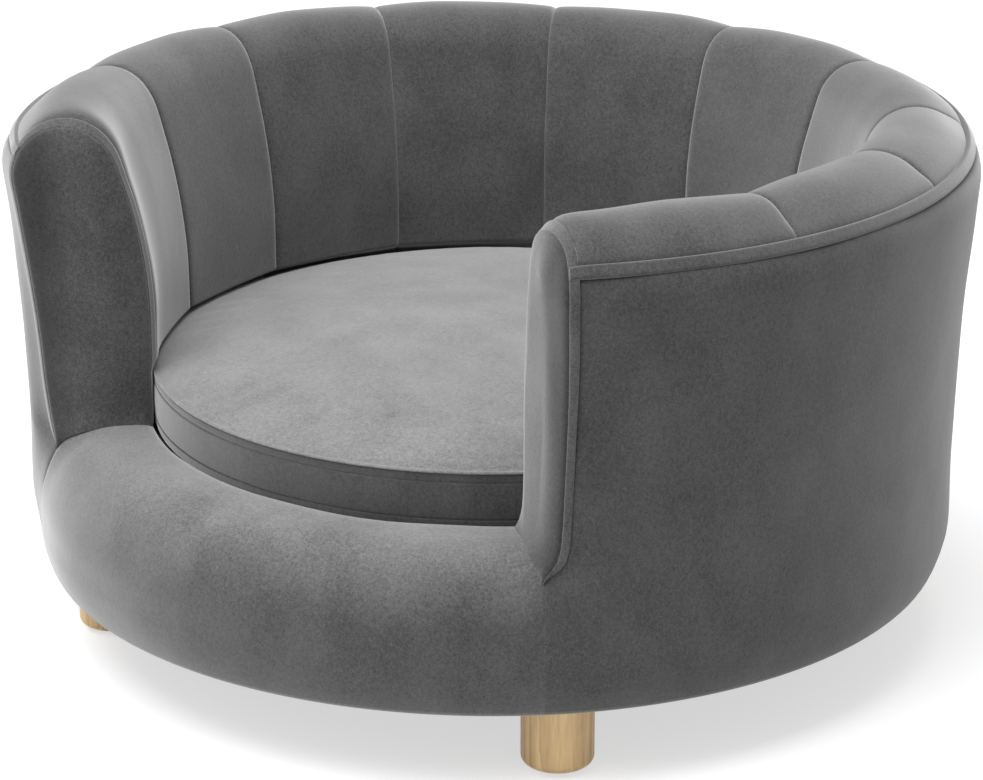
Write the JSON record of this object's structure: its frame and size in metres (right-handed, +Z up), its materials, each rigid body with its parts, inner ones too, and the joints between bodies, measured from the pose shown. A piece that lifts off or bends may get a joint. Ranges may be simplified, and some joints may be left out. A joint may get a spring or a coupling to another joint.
{
  "type": "dog sofa bed",
  "caption": "Round tub sofa bed for a dog: C-shaped channelled velvet wall with a low rolled front, loose round cushion with a zip, short turned wooden legs on glides.",
  "frame": {"origin": "on the floor, under the middle of the whole sofa's box; the cushion's and the round body's upright axis stands 6 mm in front of it, at y = -6 mm, because only the back flares", "axes": "+Z up; the low front faces -Y; +X is the sofa's right-hand side for someone who stands in front of it and looks along +Y at it"},
  "size_m": [0.6884, 0.6764, 0.381],
  "materials": {
    "velvet": "brushed grey velvet",
    "foam": "cut foam",
    "wadding": "fibre wadding",
    "lining": "non-woven black cloth",
    "plywood": "raw plywood",
    "frame_wood": "sawn softwood",
    "fibreboard": "thin panel board",
    "leg_wood": "clear satin lacquer",
    "zinc_steel": "zinc plated",
    "dark_plastic": "matte"
  },
  "bodies": {
    "sofa": {"base_board": "plywood", "deck_board": "plywood", "top_rail": "plywood", "front_rail": "plywood", "right_arm_post": "frame_wood", "left_arm_post": "frame_wood", "back_studs": "frame_wood", "front_studs": "frame_wood", "deck_posts": "frame_wood", "inner_board": "fibreboard", "outer_board": "fibreboard", "front_board": "fibreboard", "deck_foam": "foam", "deck_cloth": "lining", "outer_wadding": "wadding", "front_roll_foam": "foam", "right_arm_foam": "foam", "left_arm_foam": "foam", "right_arm_facing": "velvet", "left_arm_facing": "velvet", "right_arm_welt": "velvet", "left_arm_welt": "velvet", "outer_welt": "velvet", "outer_cover": "velvet", "front_cover": "velvet", "dust_cover": "lining", "staples": "zinc_steel", "t_nuts": "zinc_steel", "frame_screws": "zinc_steel", "channel_01": "velvet", "channel_02": "velvet", "channel_03": "velvet", "channel_04": "velvet", "channel_05": "velvet", "channel_06": "velvet", "channel_07": "velvet", "channel_08": "velvet", "channel_09": "velvet", "channel_10": "velvet"},
    "cushion": {"cushion_foam": "foam", "cushion_top_panel": "velvet", "cushion_band": "velvet", "cushion_bottom_panel": "velvet", "zip_tape": "lining", "zip_chain": "dark_plastic"},
    "zip_slider": {"zip_slider": "zinc_steel"},
    "zip_pull": {"zip_pull": "zinc_steel"},
    "front_right_leg": {"front_right_leg": "leg_wood", "front_right_bolt": "zinc_steel", "front_right_glide": "dark_plastic"},
    "back_right_leg": {"back_right_leg": "leg_wood", "back_right_bolt": "zinc_steel", "back_right_glide": "dark_plastic"},
    "back_left_leg": {"back_left_leg": "leg_wood", "back_left_bolt": "zinc_steel", "back_left_glide": "dark_plastic"},
    "front_left_leg": {"front_left_leg": "leg_wood", "front_left_bolt": "zinc_steel", "front_left_glide": "dark_plastic"}
  },
  "joints": [
    {"name": "cushion_lift", "type": "slide", "parent": "sofa", "child": "cushion", "axis": [0, 0, 1], "range_m": [0, 0.26]},
    {"name": "zip_slide", "type": "hinge", "parent": "cushion", "child": "zip_slider", "pos_m": [0, -0.006, 0.1773], "axis": [0, 0, 1], "range_deg": [0, 108]},
    {"name": "zip_pull_swing", "type": "hinge", "parent": "zip_slider", "child": "zip_pull", "pos_m": [0.19692, 0.13707, 0.1773], "axis": [0, 0, -1], "range_deg": [0, 12]},
    {"name": "front_right_leg_turn", "type": "hinge", "parent": "sofa", "child": "front_right_leg", "pos_m": [0.1987, -0.2047, 0.056], "axis": [0, 0, -1], "range_deg": [0, 2880]},
    {"name": "back_right_leg_turn", "type": "hinge", "parent": "sofa", "child": "back_right_leg", "pos_m": [0.1987, 0.1927, 0.056], "axis": [0, 0, -1], "range_deg": [0, 2880]},
    {"name": "back_left_leg_turn", "type": "hinge", "parent": "sofa", "child": "back_left_leg", "pos_m": [-0.1987, 0.1927, 0.056], "axis": [0, 0, -1], "range_deg": [0, 2880]},
    {"name": "front_left_leg_turn", "type": "hinge", "parent": "sofa", "child": "front_left_leg", "pos_m": [-0.1987, -0.2047, 0.056], "axis": [0, 0, -1], "range_deg": [0, 2880]}
  ]
}
